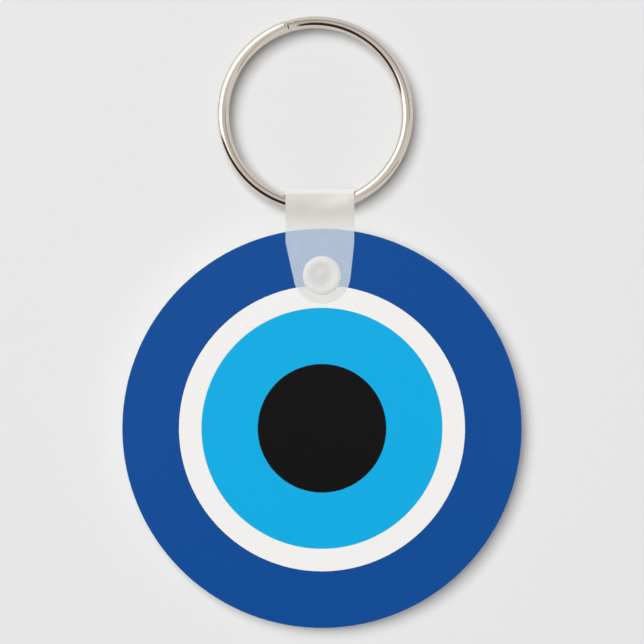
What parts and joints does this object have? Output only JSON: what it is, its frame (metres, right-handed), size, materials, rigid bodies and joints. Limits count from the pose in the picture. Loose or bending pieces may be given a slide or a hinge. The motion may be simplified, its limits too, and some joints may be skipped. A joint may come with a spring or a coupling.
{
  "type": "evil eye key ring",
  "caption": "Flat round key ring with a concentric blue, white and black eye printed on its face, hung from a split ring by a folded frosted plastic snap strap.",
  "frame": {"origin": "centre of the printed face, on its surface", "axes": "+Z out of the printed face, +Y from the eye's centre to the snap and the ring, +X to the right of the face with the ring at the top"},
  "size_m": [0.0572, 0.0875, 0.0048],
  "materials": {
    "core_plastic": "hard white plastic with a cut edge",
    "back_gloss_white": "plain white gloss coat",
    "print_black": "black print under a satin gloss coat",
    "print_light_blue": "light blue print under a satin gloss coat",
    "print_white": "white print under a satin gloss coat",
    "print_dark_blue": "dark blue print under a satin gloss coat",
    "strap_frosted_plastic": "milky frosted flexible plastic that lets the disc show through",
    "snap_plastic": "milky frosted plastic, thicker than the strap",
    "ring_nickel": "polished nickel plate on steel wire"
  },
  "bodies": {
    "disc": {"core_panel": "core_plastic", "back_coat": "back_gloss_white", "print_black_pupil": "print_black", "print_light_blue_iris": "print_light_blue", "print_white_ring": "print_white", "print_dark_blue_rim": "print_dark_blue"},
    "strap": {"strap": "strap_frosted_plastic", "snap_socket": "snap_plastic", "snap_stud": "snap_plastic"},
    "ring": {"split_ring": "ring_nickel"}
  },
  "joints": [
    {"name": "strap_pivot", "type": "hinge", "parent": "disc", "child": "strap", "pos_m": [0, 0.02184, -0.0012], "axis": [0, 0, 1], "range_deg": [-25, 25]},
    {"name": "ring_swing", "type": "hinge", "parent": "strap", "child": "ring", "pos_m": [-0.0003, 0.03235, -0.0012], "axis": [1, 0, 0], "range_deg": [-110, 110]}
  ]
}
